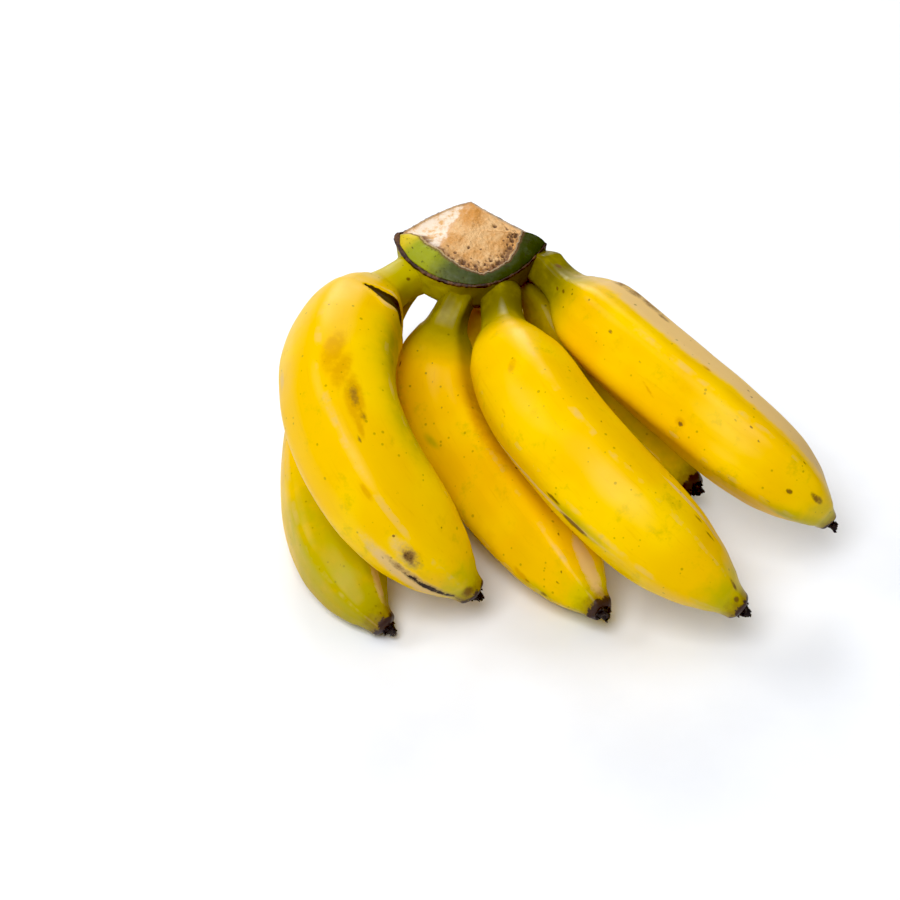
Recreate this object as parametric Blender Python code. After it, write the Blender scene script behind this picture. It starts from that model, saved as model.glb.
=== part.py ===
"""A hand of small dessert bananas, cut from its bunch and lying on a surface.

Four fingers fan out over three shorter ones, and all seven necks meet in the
cut crown. Each finger ends in a dried black blossom end. Sizes are in
millimetres until a mesh is made.
"""
import math
import random

import bmesh
import bpy
from mathutils import Quaternion, Vector

MM = 0.001
UP = Vector((0, 0, 1))

# Clear gap between two pieces that touch
GAP = 0.3

# Middle of the hand's footprint in the layout below, and the height there of
# the surface that presses the lowest bellies flat; both are moved to the origin
FOOTPRINT_MIDDLE = (-0.2, 5.4)
REST_HEIGHT = 0.9

# Fingers: where the neck leaves the crown, the two handles that bend the curve,
# the blossom end, then the girth of the belly and of the neck
FINGERS = {
    "front_1": ((-43.5, 47.5, 56), (-64.5, 34, 51.5), (-86, -43, 77), (-25, -51, 13), 35, 13),
    "front_2": ((-29.5, 40.5, 55.6), (-49, 19, 22), (-31, 14, 20), (12, -56, 10), 32, 14),
    "front_3": ((-17, 39.5, 54.1), (-16, 21, 45), (-10, -40, 64), (51, -63, 18), 34, 12.5),
    "front_4": ((-5.5, 48, 55), (28, 6, 45.5), (64, -34, 45), (79, -24, 18), 30.5, 12.5),
    "back_1": ((-43.5, 59.5, 49.5), (-79, 45, 10), (-76, -41, 20.5), (-50, -57, 5), 31, 12.5),
    "back_2": ((-26, 62, 52), (-17, 77, 19), (-32, 42, 15), (2, 19, 9), 29, 12),
    "back_3": ((-11, 57, 51), (21, 47, 13), (1, 50, 19), (43, -1, 10), 30, 12),
}

# Length of the neck against the usual one
NECK_SHARE = {
    "front_1": 0.94,
    "front_2": 0.8,
    "front_3": 0.96,
    "front_4": 0.78,
    "back_1": 1,
    "back_2": 1,
    "back_3": 1,
}

# Turn of the five ridges about each finger, in degrees
RIDGE_TURN = {
    "front_1": 19,
    "front_2": 36,
    "front_3": 0,
    "front_4": -2,
    "back_1": 15,
    "back_2": 40,
    "back_3": 5,
}
RIDGES = 5
RIDGE_HEIGHT = 0.045

# Swelling along a finger: share of its length, then share of the way from the
# neck's radius to the belly's
SHOULDER = ((0.0, 0.08), (0.05, 0.01), (0.10, 0.08), (0.15, 0.34), (0.21, 0.68), (0.29, 0.93), (0.38, 0.99))
# Taper to the blossom end: share of the length, then share of the belly's radius
TAPER = ((0.50, 1.0), (0.65, 0.99), (0.76, 0.93), (0.86, 0.75), (0.93, 0.51), (0.98, 0.33), (1.0, 0.28))

ROOT_DEPTH = 6
ROOT_RADIUS = 2.5
RING_SIDES = 20
RINGS_ALONG = 26

# Dried blossom end: how far it reaches back into and out of the finger's curve
STUB_INSIDE = 4.0
STUB_OUTSIDE = 2.6
STUB_RADIUS = 3.6
STUB_SIDES = 10
STUB_RINGS = 4
STUB_SEED = 7

# Crown: a cut cushion, half oval in front, with two straight edges that meet in a peak behind
CROWN_MIDDLE = (-26, 55)
CROWN_HALF_WIDTH = 23.3
CROWN_FRONT = 20
CROWN_PEAK = 13
EDGE_FULLNESS = 1.25
LEFT_FULLNESS = 1.28
RIGHT_FULLNESS = 0.89
UNDERSIDE_FULLNESS = 2.6
CROWN_BOTTOM = 47
CROWN_SIDES = 40
# Underside of the crown: share of the outline, then share of the fall to the bottom
CROWN_UNDERSIDE = ((0.40, 1.0), (0.74, 0.90), (0.94, 0.60), (0.99, 0.25))
# Band of green skin between the scar line and the cut: angle in degrees from the right, then width
CROWN_BAND = ((-180, 0.6), (-150, 4.5), (-90, 3.5), (-40, 5.0), (0, 8.0), (35, 5.0), (65, 0.8), (180, 0.6))
BAND_SLOPE = 0.55
# Cut face: share of the cut's rim, then its rise above a flat face
CROWN_CUT = ((0.60, 0.7), (0.22, 1.1))
CUT_HEIGHT = 66


def bezier(points, t):
    """Point at parameter t of the cubic curve through four control points."""
    a, b, c, d = points
    s = 1 - t
    return a * s ** 3 + b * (3 * s * s * t) + c * (3 * s * t * t) + d * t ** 3


def even_spine(points, count, steps=600):
    """Points at even distances along the curve, and its length."""
    fine = [bezier(points, i / steps) for i in range(steps + 1)]
    reach = [0.0]
    for here, there in zip(fine, fine[1:]):
        reach.append(reach[-1] + (there - here).length)
    spine = []
    k = 0
    for i in range(count):
        goal = reach[-1] * i / (count - 1)
        while reach[k + 1] < goal and k < steps - 1:
            k += 1
        share = (goal - reach[k]) / (reach[k + 1] - reach[k])
        spine.append(fine[k].lerp(fine[k + 1], share))
    return spine, reach[-1]


def tangents(spine):
    """Unit direction of the curve at each of its points."""
    last = len(spine) - 1
    return [(spine[min(i + 1, last)] - spine[max(i - 1, 0)]).normalized() for i in range(last + 1)]


def turning_frames(directions, turn):
    """Side vectors carried along the curve without twisting, starting from straight up."""
    first = directions[0]
    side = (UP - first * UP.dot(first)).normalized()
    side.rotate(Quaternion(first, math.radians(turn)))
    frames = []
    previous = first
    for direction in directions:
        side.rotate(previous.rotation_difference(direction))
        side = (side - direction * side.dot(direction)).normalized()
        frames.append((side.copy(), direction.cross(side)))
        previous = direction
    return frames


def smooth_value(table, x):
    """Value at x of the smooth curve through a table of (x, value) pairs."""
    last = len(table) - 1
    slopes = []
    for i in range(last + 1):
        x0, y0 = table[max(i - 1, 0)]
        x1, y1 = table[min(i + 1, last)]
        slopes.append((y1 - y0) / (x1 - x0))
    k = 0
    while k < last - 1 and x > table[k + 1][0]:
        k += 1
    (x0, y0), (x1, y1) = table[k], table[k + 1]
    width = x1 - x0
    u = (x - x0) / width
    start = (2 * u ** 3 - 3 * u * u + 1) * y0 + (u ** 3 - 2 * u * u + u) * width * slopes[k]
    end = (3 * u * u - 2 * u ** 3) * y1 + (u ** 3 - u * u) * width * slopes[k + 1]
    return start + end


def radius_table(girth, neck, neck_share):
    """Radius at shares of a finger's length, from its belly's and its neck's girth."""
    belly = girth / 2
    thin = neck / 2
    shoulder = [(x * neck_share, thin + share * (belly - thin)) for x, share in SHOULDER]
    taper = [(x, share * belly) for x, share in TAPER]
    return shoulder + taper


def ridged(angle, height):
    """Share of the radius at an angle round a softly ridged section."""
    return 1 - height + height * math.cos(RIDGES * angle)


def ring_points(centre, frame, radius, sides, height):
    """One ring of a finger, pressed flat where it would pass through the surface below."""
    side, other = frame
    ring = []
    for k in range(sides):
        angle = 2 * math.pi * k / sides
        reach = radius * ridged(angle, height)
        point = centre + side * (reach * math.cos(angle)) + other * (reach * math.sin(angle))
        point.z = max(point.z, REST_HEIGHT)
        ring.append(point)
    return ring


def loft(name, rings, material):
    """A closed object through rings of points, with a flat cap at each end."""
    mesh = bpy.data.meshes.new(name)
    bm = bmesh.new()
    loops = []
    for ring in rings:
        verts = [bm.verts.new(point * MM) for point in ring]
        loops.append([bm.edges.new((a, b)) for a, b in zip(verts, verts[1:] + verts[:1])])
    bm.verts.ensure_lookup_table()
    for lower, upper in zip(loops, loops[1:]):
        bmesh.ops.bridge_loops(bm, edges=lower + upper)
    sides = len(rings[0])
    for first in (0, len(rings) - 1):
        bm.faces.new([bm.verts[first * sides + k] for k in range(sides)])
    bmesh.ops.recalc_face_normals(bm, faces=bm.faces)
    bm.to_mesh(mesh)
    bm.free()
    mesh.materials.append(material)
    mesh.shade_smooth()
    mesh.set_sharp_from_angle(angle=math.radians(50))
    piece = bpy.data.objects.new(name, mesh)
    bpy.context.scene.collection.objects.link(piece)
    return piece


def make_material(name, colour, roughness):
    """A plain material for one kind of sub-part."""
    material = bpy.data.materials.new(name)
    material.use_nodes = True
    shader = material.node_tree.nodes["Principled BSDF"]
    shader.inputs["Base Color"].default_value = (*colour, 1.0)
    shader.inputs["Roughness"].default_value = roughness
    shader.inputs["Metallic"].default_value = 0.0
    return material


def finger_curve(name):
    """Evenly spaced spine of a finger, its directions, its frames and its length."""
    points = [Vector(point) for point in FINGERS[name][:4]]
    spine, length = even_spine(points, RINGS_ALONG)
    directions = tangents(spine)
    return spine, directions, turning_frames(directions, RIDGE_TURN[name]), length


def make_finger(name, material):
    """A finger from inside the crown to just short of its blossom end."""
    girth, neck = FINGERS[name][4:]
    spine, directions, frames, length = finger_curve(name)
    table = radius_table(girth, neck, NECK_SHARE[name])
    rings = [ring_points(spine[0] - directions[0] * ROOT_DEPTH, frames[0], ROOT_RADIUS, RING_SIDES, 0)]
    stop = 1 - STUB_INSIDE / length
    for i, centre in enumerate(spine):
        share = i / (RINGS_ALONG - 1)
        if share >= stop:
            break
        rings.append(ring_points(centre, frames[i], smooth_value(table, share), RING_SIDES, RIDGE_HEIGHT))
    end = spine[-1] - directions[-1] * STUB_INSIDE
    rings.append(ring_points(end, frames[-1], smooth_value(table, stop), RING_SIDES, RIDGE_HEIGHT))
    return loft("finger_" + name, rings, material)


def make_blossom_end(name, material, dice):
    """The short dried stub that the flower leaves on the tip."""
    spine, directions, frames, _ = finger_curve(name)
    rings = []
    for i in range(STUB_RINGS):
        share = i / (STUB_RINGS - 1)
        along = GAP - STUB_INSIDE + share * (STUB_INSIDE - GAP + STUB_OUTSIDE)
        centre = spine[-1] + directions[-1] * along
        radius = STUB_RADIUS * (1 - 0.35 * share * share)
        ring = ring_points(centre, frames[-1], radius, STUB_SIDES, 0)
        if i:
            ring = [centre + (point - centre) * dice.uniform(0.86, 1.08) for point in ring]
        rings.append(ring)
    ragged = [point + directions[-1] * dice.uniform(-0.7, 0.5) for point in rings[-1]]
    rings[-1] = ragged
    return loft("blossom_end_" + name, rings, material)


def crown_outline(angle, fullness):
    """Plan of the crown from its middle; the fullness rounds the two edges behind."""
    across = CROWN_HALF_WIDTH * math.cos(angle)
    if math.sin(angle) < 0:
        return Vector((across, CROWN_FRONT * math.sin(angle), 0))
    sided = fullness * (LEFT_FULLNESS if across < 0 else RIGHT_FULLNESS)
    return Vector((across, CROWN_PEAK * (1 - abs(math.cos(angle)) ** sided), 0))


def scar_height(angle):
    """Height of the scar line: lowest in front, highest at the peak."""
    height = 63 - math.cos(angle)
    if math.sin(angle) < 0:
        return height + 3 * math.sin(angle)
    return height + 6 * (1 - abs(math.cos(angle)))


def crown_rings():
    """Rings of the crown from its underside over the scar line to the cut face."""
    middle = Vector((*CROWN_MIDDLE, 0))
    angles = [2 * math.pi * k / CROWN_SIDES - math.pi for k in range(CROWN_SIDES)]
    scar = [crown_outline(a, EDGE_FULLNESS) + UP * scar_height(a) for a in angles]
    below = [crown_outline(a, UNDERSIDE_FULLNESS) + UP * scar_height(a) for a in angles]
    rings = []
    for share, fall in CROWN_UNDERSIDE:
        ring = [Vector((p.x * share, p.y * share, p.z + (CROWN_BOTTOM - p.z) * fall)) for p in below]
        rings.append([middle + p for p in ring])
    rings.append([middle + p for p in scar])
    rim = []
    for angle, p in zip(angles, scar):
        band = smooth_value(CROWN_BAND, math.degrees(angle))
        share = 1 - band / math.hypot(p.x, p.y)
        rim.append(Vector((p.x * share, p.y * share, p.z + 0.5 + band * BAND_SLOPE)))
    rings.append([middle + p for p in rim])
    for share, rise in CROWN_CUT:
        ring = [Vector((p.x * share, p.y * share, CUT_HEIGHT + rise + (p.z - CUT_HEIGHT) * share)) for p in rim]
        rings.append([middle + p for p in ring])
    return rings


def make_clearance(name, rings, material):
    """The crown grown by the clear gap, to cut the necks back with."""
    cutter = loft(name, rings, material)
    bm = bmesh.new()
    bm.from_mesh(cutter.data)
    grown = [vert.co + vert.normal * (vert.calc_shell_factor() * GAP * MM) for vert in bm.verts]
    for vert, place in zip(bm.verts, grown):
        vert.co = place
    bm.to_mesh(cutter.data)
    bm.free()
    cutter.hide_render = True
    cutter.display_type = "WIRE"
    return cutter


def trim(piece, cutter):
    """Cut a finger's neck back to the crown's skin."""
    cut = piece.modifiers.new("Trim to crown", "BOOLEAN")
    cut.operation = "DIFFERENCE"
    cut.object = cutter
    cut.solver = "EXACT"


def main():
    for leftover in list(bpy.data.objects):
        bpy.data.objects.remove(leftover)

    skin = make_material("banana_skin", (0.83, 0.56, 0.03), 0.42)
    skin_green = make_material("crown_skin", (0.30, 0.31, 0.06), 0.55)
    dried = make_material("dried_blossom", (0.03, 0.022, 0.016), 0.85)

    hand = bpy.data.objects.new("hand_middle", None)
    hand.location = Vector((*FOOTPRINT_MIDDLE, REST_HEIGHT)) * -MM
    bpy.context.scene.collection.objects.link(hand)

    crown = loft("crown", crown_rings(), skin_green)
    cutter = make_clearance("crown_clearance", crown_rings(), skin_green)
    pieces = [crown, cutter]

    dice = random.Random(STUB_SEED)
    for name in FINGERS:
        finger = make_finger(name, skin)
        trim(finger, cutter)
        pieces.append(finger)
        pieces.append(make_blossom_end(name, dried, dice))

    for piece in pieces:
        piece.parent = hand


main()
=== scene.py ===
"""The looks of a hand of small dessert bananas, lying on a white table.

The file is laid out as a Blender add-on: one operator makes the fingers, one
the crown, one the blossom ends and one the stage. It is run as a script, which
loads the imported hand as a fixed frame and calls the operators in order.
Sizes are in millimetres where a name ends in _MM, and in metres elsewhere.
"""
import math
import random

import bmesh
import bpy
import numpy as np
from bpy.props import FloatProperty, FloatVectorProperty, IntProperty, PointerProperty
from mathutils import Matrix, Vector, noise


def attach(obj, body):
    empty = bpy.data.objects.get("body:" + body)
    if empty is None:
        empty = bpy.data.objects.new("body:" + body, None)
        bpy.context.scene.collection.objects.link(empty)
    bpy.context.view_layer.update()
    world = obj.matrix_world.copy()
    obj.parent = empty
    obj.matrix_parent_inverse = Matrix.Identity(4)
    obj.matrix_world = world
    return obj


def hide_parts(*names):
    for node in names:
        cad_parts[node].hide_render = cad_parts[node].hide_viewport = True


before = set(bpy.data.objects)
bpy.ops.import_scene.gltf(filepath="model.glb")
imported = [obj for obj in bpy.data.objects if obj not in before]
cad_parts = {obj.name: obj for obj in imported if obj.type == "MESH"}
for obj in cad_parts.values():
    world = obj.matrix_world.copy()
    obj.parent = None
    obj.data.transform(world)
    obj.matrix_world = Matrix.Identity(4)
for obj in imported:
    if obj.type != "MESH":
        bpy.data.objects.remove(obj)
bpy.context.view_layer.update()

bl_info = {
    "name": "Hand of Bananas",
    "version": (1, 0, 0),
    "blender": (4, 5, 0),
    "location": "View3D > Sidebar > Bananas",
    "description": "Makes a ripe hand of bananas round its packed frame, with a stage to show it on",
    "category": "Add Mesh",
}

MM = 0.001
BODY = "root"

# Middle of the hand's footprint in the layout of the fingers, and the height of the surface there
FOOTPRINT_MIDDLE_MM = (-0.2, 5.4)
REST_HEIGHT_MM = 0.9

# Fingers: root, root handle, tip handle and blossom end of the curve, then the girth of belly and neck
FINGERS = {
    "front_1": ((-43.5, 47.5, 56.1), (-64.5, 34, 53), (-86, -43, 77), (-25, -51, 13), 35, 13),
    "front_2": ((-28.7, 40.5, 55.6), (-48.6, 19, 22), (-31, 14, 20), (12, -56, 10), 32, 11),
    "front_3": ((-17, 39.5, 53.4), (-17, 21, 45), (-11.4, -40.5, 64), (51, -63, 18), 32.6, 12.5),
    "front_4": ((-2.7, 51, 55), (28, 6, 45.5), (64, -34, 45), (79, -24, 18), 30.5, 12.5),
    "back_1": ((-43.5, 59.5, 49.5), (-79, 45, 10), (-76, -41, 20.5), (-50, -57, 5), 31, 12.5),
    "back_2": ((-26, 62, 52), (-17, 77, 19), (-32, 42, 15), (2, 19, 9), 29, 12),
    "back_3": ((-11, 57, 51), (21, 47, 13), (1, 50, 19), (43, -1, 10), 30, 12),
}
# Ridges: turn round the finger in degrees, twist along it, height as a share of the radius; and the
# length of the neck against the usual one
HABITS = {
    "front_1": (19, 0, 0.030, 0.94),
    "front_2": (18, 45, 0.060, 0.80),
    "front_3": (0, 0, 0.026, 0.96),
    "front_4": (16, -18, 0.055, 0.78),
    "back_1": (15, 0, 0.045, 1.0),
    "back_2": (40, 0, 0.045, 1.0),
    "back_3": (5, 0, 0.045, 1.0),
}
TWIST_MIDDLE = 0.3
RIDGES = 5

# Share of the way from the neck's radius to the belly's, along the finger
SHOULDER = ((0.0, 0.05), (0.05, 0.02), (0.10, 0.08), (0.15, 0.34), (0.21, 0.68), (0.29, 0.93), (0.38, 0.99),
            (0.50, 1.0), (1.0, 1.0))
# Share of the belly's radius, along the finger
TAPER = ((0.0, 1.0), (0.50, 1.0), (0.65, 0.99), (0.76, 0.93), (0.86, 0.74), (0.93, 0.48), (0.975, 0.29),
         (1.0, 0.25))

# Middle of the crown, towards which the buried end of each neck bends, and how far
ANCHOR_MM = (-26, 54, 51.5)
ANCHOR_PULL = 0.8
ROOT_DEPTH_MM = 6
TIP_BACK_MM = 2.6
TIP_LENGTH_MM = 2.2
ROOT_SHARE = 0.05
TIP_SHARE = 0.95
MERGE_DISTANCE = 0.00001

# Steps along a finger's curve, and how square the rim of its buried end is
SPINE_STEPS = 160
ROOT_ROUNDING = 5.0
# Lowest place of a point of the peel: free sideways, and not below the table
TABLE_LIMIT = (-10.0, -10.0, 0.0)

# Blossom end: how far its foot sits inside the tip, then its length and radius
STUB_INSIDE_MM = 2.6
STUB_LENGTH_MM = 3.7
STUB_RADIUS_MM = 2.2
# Stubs that lean off their finger's own line: how far, and their length against the usual one
LEANING_STUBS = {"front_4": ((0.6, -1.0, 0.3), 1.6)}
STRAIGHT_STUB = ((0, 0, 0), 1)

# Crown, in millimetres from its middle in the layout
CROWN_MIDDLE_MM = (-26, 55)
CROWN_HALF_WIDTH_MM = 23.3
CROWN_FRONT_MM = 20
CROWN_PEAK_MM = 12.2
CROWN_BOTTOM_MM = 47
EDGE_FULLNESS = 1.25
LEFT_FULLNESS = 1.45
RIGHT_FULLNESS = 0.76
# How far the front bulges on the left and on the right: 1 is round, 2 pointed
LEFT_POINT = 1.2
RIGHT_POINT = 2.0
# Underside: share of the outline, share of the fall to the bottom, fullness of the outline
CROWN_UNDERSIDE = (
    (0.0, 1.0, 2.6),
    (0.40, 1.0, 2.6),
    (0.74, 0.90, 2.6),
    (0.94, 0.60, 2.6),
    (0.99, 0.25, 2.6),
    (1.0, 0.05, 1.8),
    (1.0, 0.0, 1.25),
)
UNDERSIDE_ROWS = 44
CROWN_SIDES = 360
# Green band between the scar line and the cut: degrees from the right, then width
CROWN_BAND_MM = ((-180, 1.6), (-174, 4.7), (-165, 6.4), (-130, 7.4), (-100, 5.2), (-80, 3.3), (-50, 3.9),
                 (-20, 6.9), (0, 7.5), (20, 5.6), (35, 3.0), (60, 0.9), (176, 0.8), (180, 1.6))
BAND_ROWS = 24
BAND_SLOPE = 0.55
BAND_BULGE = 0.12
# Shares of dark green, lime, slate and dry skin along the band, by degrees from the right
BAND_DARK = ((-180, 0.0), (-140, 0.0), (-116, 0.6), (-84, 1.0), (180, 1.0))
BAND_LIME = ((-180, 0.0), (-168, 0.0), (-148, 1.0), (180, 1.0))
BAND_SLATE = ((-180, 0.0), (-136, 0.0), (-118, 0.9), (-96, 0.6), (-72, 0.1), (180, 0.0))
BAND_DRY = ((-180, 0.8), (-175, 0.0), (4, 0.0), (22, 1.0), (180, 1.0))
# Share of painted light on the skin below the scar line, by degrees from the right: lit on the left and
# behind, painted shade in front and on the right
UNDER_LIT = ((-180, 1.0), (-112, 1.0), (-98, 0.0), (0, 0.0), (30, 0.6), (180, 1.0))
# Thickness of the scar line against its setting, by degrees from the right
SCAR_THICKNESS = ((-180, 2.7), (-172, 1.9), (-160, 1.3), (-110, 1.05), (-60, 0.72), (0, 0.7), (20, 0.42),
                  (100, 0.4), (148, 0.6), (165, 1.9), (180, 2.7))
# Scar line: height at the crown's sides, its dip in front, its rise at the peak, and the rows over its lip
SCAR_HEIGHT_MM = 63
SCAR_DIP_MM = 3.0
SCAR_PEAK_MM = 6
SCAR_ROWS = 8
SCAR_ARC = (-80, 120)
SCAR_INSET = 0.3
SCAR_LIFT = 0.4
# Rim of the cut: its step up from the band, its width and how ragged it is
RIM_RISE_MM = 0.5
RIM_WIDTH_MM = 0.75
RIM_RAGGED_MM = 0.45
# Bumps in a millimetre of the ragged rim
RIM_PITCHES = (0.33, 1.1)
# Rim: share of its width, then height in millimetres
RIM_PROFILE = ((0.1, 0.16), (0.3, 0.24), (0.55, 0.20), (0.8, 0.02), (1.0, -0.15))
# Cut: height, rows of faces, bulge in the middle and fall towards the edge
CUT_HEIGHT_MM = 66
CUT_ROWS = 90
CUT_BULGE_MM = 1.1
CUT_EDGE_FALL_MM = 0.4
# The knife slipped on the left: a second, paler facet falls off beyond this line
CREASE_START_MM = (-1.9, 9.4)
CREASE_WAY = (-0.40, -0.917)
FACET_SLOPE = 0.10
# Its soft edge, and how far and how often in a millimetre that edge wanders
FACET_EDGE_MM = (-1.2, 1.6)
FACET_WANDER_MM = (2.2, 0.9)
FACET_PITCHES = (0.30, 1.0)
# Warm stain by the peak of the cut: middle, then where it begins to fade and where it ends
APEX_MM = (0.6, 8.0)
APEX_REACH_MM = (1.5, 7.0)
# Pits in the cut: place, radius
PITS_MM = (
    (7.4, 3.3, 0.75), (-0.8, -6.4, 0.55), (2.9, -6.4, 0.40), (-5.0, -8.8, 0.60), (-2.5, -12.3, 0.75),
    (-1.4, -14.3, 0.50), (1.2, -12.8, 0.65), (3.1, -15.2, 0.55), (5.3, -13.6, 0.70), (8.1, -10.7, 0.95),
    (6.0, -10.3, 0.65), (9.6, -7.8, 0.70), (12.0, -4.4, 0.90), (12.6, -2.0, 0.75), (11.6, 0.6, 0.65),
    (13.6, -0.8, 0.60), (10.5, -9.4, 0.55), (7.0, -12.2, 0.60), (10.8, -5.6, 0.50), (-7.2, -6.6, 0.45),
    (0.0, -10.4, 0.35), (4.2, -11.6, 0.40), (11.2, 2.6, 0.50),
)
# Smaller pits by a fixed draw: degrees from the right and their spread, distance from the rim as a share
# of the crown and its spread, and radius
SMALL_PITS = 90
PIT_SEED = 5
PIT_BEARING = (-55, 38)
PIT_INSET = 0.03
PIT_SPREAD = 0.07
PIT_RADIUS_MM = (0.18, 0.45)
PIT_FADE = (0.2, 1.35)
# Unevenness of the crown's surfaces, by a fixed draw: bumps in a millimetre and height in millimetres
NOISE_SEED = 7
SCAR_NOISE = (1.1, 0.24)
RIM_NOISE = (1.6, 0.18)
SKIN_NOISE = (0.35, 0.20)
CUT_PITCHES = (0.9, 3.5)

# Camera, as the photograph was taken: the point at the middle of the picture, the height of the
# view in degrees, the distance and the lens
VIEW_TARGET_MM = (-32.35, 9.48, 11.5)
VIEW_ELEVATION = 40
VIEW_DISTANCE = 0.775
VIEW_LENS = 100
SENSOR_WIDTH = 36

# Layout of the node trees, and the places of a colour mix's sockets
NODE_ROWS = 6
NODE_STEP = (210, 260)
COLOUR_FACTOR = 0
COLOUR_A = 6
COLOUR_B = 7
COLOUR_RESULT = 2


class Nodes:
    """A node tree under construction."""

    def __init__(self, tree):
        self.tree = tree

    def add(self, kind, inputs=None, **settings):
        """A new node; an input is a value or another node's output."""
        count = len(self.tree.nodes)
        node = self.tree.nodes.new(kind)
        node.location = (NODE_STEP[0] * (count // NODE_ROWS), -NODE_STEP[1] * (count % NODE_ROWS))
        for name, value in settings.items():
            setattr(node, name, value)
        for socket, value in (inputs or {}).items():
            self.feed(node.inputs[socket], value)
        return node

    def feed(self, socket, value):
        """Link an output to a socket, or set the socket's own value."""
        if isinstance(value, bpy.types.NodeSocket):
            self.tree.links.new(value, socket)
        else:
            socket.default_value = value

    def maths(self, operation, *values, clamp=False):
        node = self.add("ShaderNodeMath", dict(enumerate(values)), operation=operation, use_clamp=clamp)
        return node.outputs[0]

    def times(self, first, second):
        return self.maths("MULTIPLY", first, second)

    def plus(self, first, second, clamp=False):
        return self.maths("ADD", first, second, clamp=clamp)

    def minus(self, first, second):
        return self.maths("SUBTRACT", first, second)

    def rest(self, share):
        """What is left of 1."""
        return self.minus(1.0, share)

    def centred(self, value):
        """A value from 0 to 1, moved to lie round zero."""
        return self.minus(value, 0.5)

    def vector(self, operation, *values):
        node = self.add("ShaderNodeVectorMath", dict(enumerate(values)), operation=operation)
        return node.outputs[0]

    def scaled(self, vector, factor):
        node = self.add("ShaderNodeVectorMath", {"Vector": vector, "Scale": factor}, operation="SCALE")
        return node.outputs[0]

    def combined(self, x, y, z):
        return self.add("ShaderNodeCombineXYZ", {0: x, 1: y, 2: z}).outputs[0]

    def ranged(self, value, low, high, to_low=0.0, to_high=1.0, kind="SMOOTHSTEP"):
        sockets = {0: value, 1: low, 2: high, 3: to_low, 4: to_high}
        return self.add("ShaderNodeMapRange", sockets, interpolation_type=kind, clamp=True).outputs[0]

    def noise(self, vector, scale, detail=2.0, roughness=0.5, distortion=0.0):
        sockets = {
            "Vector": vector,
            "Scale": scale,
            "Detail": detail,
            "Roughness": roughness,
            "Distortion": distortion,
        }
        return self.add("ShaderNodeTexNoise", sockets).outputs[0]

    def blend(self, factor, first, second, kind="MIX"):
        sockets = {
            COLOUR_FACTOR: factor,
            COLOUR_A: opaque(first),
            COLOUR_B: opaque(second),
        }
        node = self.add("ShaderNodeMix", sockets, data_type="RGBA", blend_type=kind)
        return node.outputs[COLOUR_RESULT]

    def bump(self, strength, distance, height):
        """A shader's normal with fine relief; the distance is in metres."""
        sockets = {"Strength": strength, "Distance": distance, "Height": height}
        return self.add("ShaderNodeBump", sockets).outputs[0]

    def dots(self, place, scale, channel, rarity, largest, soft_from, soft_to, strength=1.0):
        """Round dots strewn over a surface; the rarity is the share of cells without one."""
        cells = self.add("ShaderNodeTexVoronoi", {"Vector": place, "Scale": scale, "Randomness": 1.0}).outputs
        chance = self.add("ShaderNodeSeparateColor", {0: cells["Color"]}).outputs[channel]
        size = self.ranged(chance, rarity, 1.0, 0.0, largest, "LINEAR")
        return self.ranged(self.minus(size, cells["Distance"]), soft_from, soft_to, 0.0, strength)

    def attribute(self, name, output="Fac"):
        return self.add("ShaderNodeAttribute", attribute_name=name).outputs[output]

    def curve(self, value, points):
        """Value of a smooth curve through (x, y) points."""
        node = self.add("ShaderNodeFloatCurve", {"Value": value})
        line = node.mapping.curves[0]
        for x, y in points[1:-1]:
            line.points.new(x, y)
        line.points[0].location = points[0]
        line.points[len(line.points) - 1].location = points[-1]
        node.mapping.update()
        return node.outputs[0]


def opaque(colour):
    """A colour as a socket takes it, with full alpha; an output is passed on."""
    return colour if isinstance(colour, bpy.types.NodeSocket) else (*colour, 1.0)


def to_world(point):
    """A point of the fingers' layout, in metres in the frame's own axes."""
    x, y, z = point
    return Vector((x - FOOTPRINT_MIDDLE_MM[0], y - FOOTPRINT_MIDDLE_MM[1], z - REST_HEIGHT_MM)) * MM


def bezier(points, t):
    """Point at parameter t of the cubic curve through four control points."""
    a, b, c, d = points
    s = 1 - t
    return a * s ** 3 + b * (3 * s * s * t) + c * (3 * s * t * t) + d * t ** 3


def finger_points(name):
    """The four control points of a finger's curve, and the curve's length."""
    points = [to_world(point) for point in FINGERS[name][:4]]
    steps = 200
    line = [bezier(points, i / steps) for i in range(steps + 1)]
    return points, sum((b - a).length for a, b in zip(line, line[1:]))


def new_tree(name, inputs):
    """A geometry tree with named inputs, its builder and its input node."""
    tree = bpy.data.node_groups.new(name, "GeometryNodeTree")
    tree.is_modifier = True
    for label, kind in inputs:
        tree.interface.new_socket(name=label, in_out="INPUT", socket_type=kind)
    tree.interface.new_socket(name="Geometry", in_out="OUTPUT", socket_type="NodeSocketGeometry")
    build = Nodes(tree)
    return build, build.add("NodeGroupInput").outputs


def close_tree(build, geometry, material):
    """End a tree in real geometry with its material."""
    real = build.add("GeometryNodeRealizeInstances", {"Geometry": geometry}).outputs[0]
    dressed = build.add("GeometryNodeSetMaterial", {"Geometry": real, "Material": material}).outputs[0]
    build.add("NodeGroupOutput", {0: dressed})
    return build.tree


def mesh_from_tree(name, tree, values):
    """A plain object with the tree's result for these input values."""
    carrier = bpy.data.objects.new(name + "_carrier", bpy.data.meshes.new(name + "_carrier"))
    bpy.context.scene.collection.objects.link(carrier)
    modifier = carrier.modifiers.new(tree.name, "NODES")
    modifier.node_group = tree
    for item in tree.interface.items_tree:
        if item.in_out == "INPUT":
            modifier[item.identifier] = values[item.name]
    depsgraph = bpy.context.evaluated_depsgraph_get()
    mesh = bpy.data.meshes.new_from_object(
        carrier.evaluated_get(depsgraph), preserve_all_data_layers=True, depsgraph=depsgraph
    )
    mesh.name = name
    carrier.modifiers.remove(modifier)
    bpy.data.objects.remove(carrier)
    piece = bpy.data.objects.new(name, mesh)
    bpy.context.scene.collection.objects.link(piece)
    return piece


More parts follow.
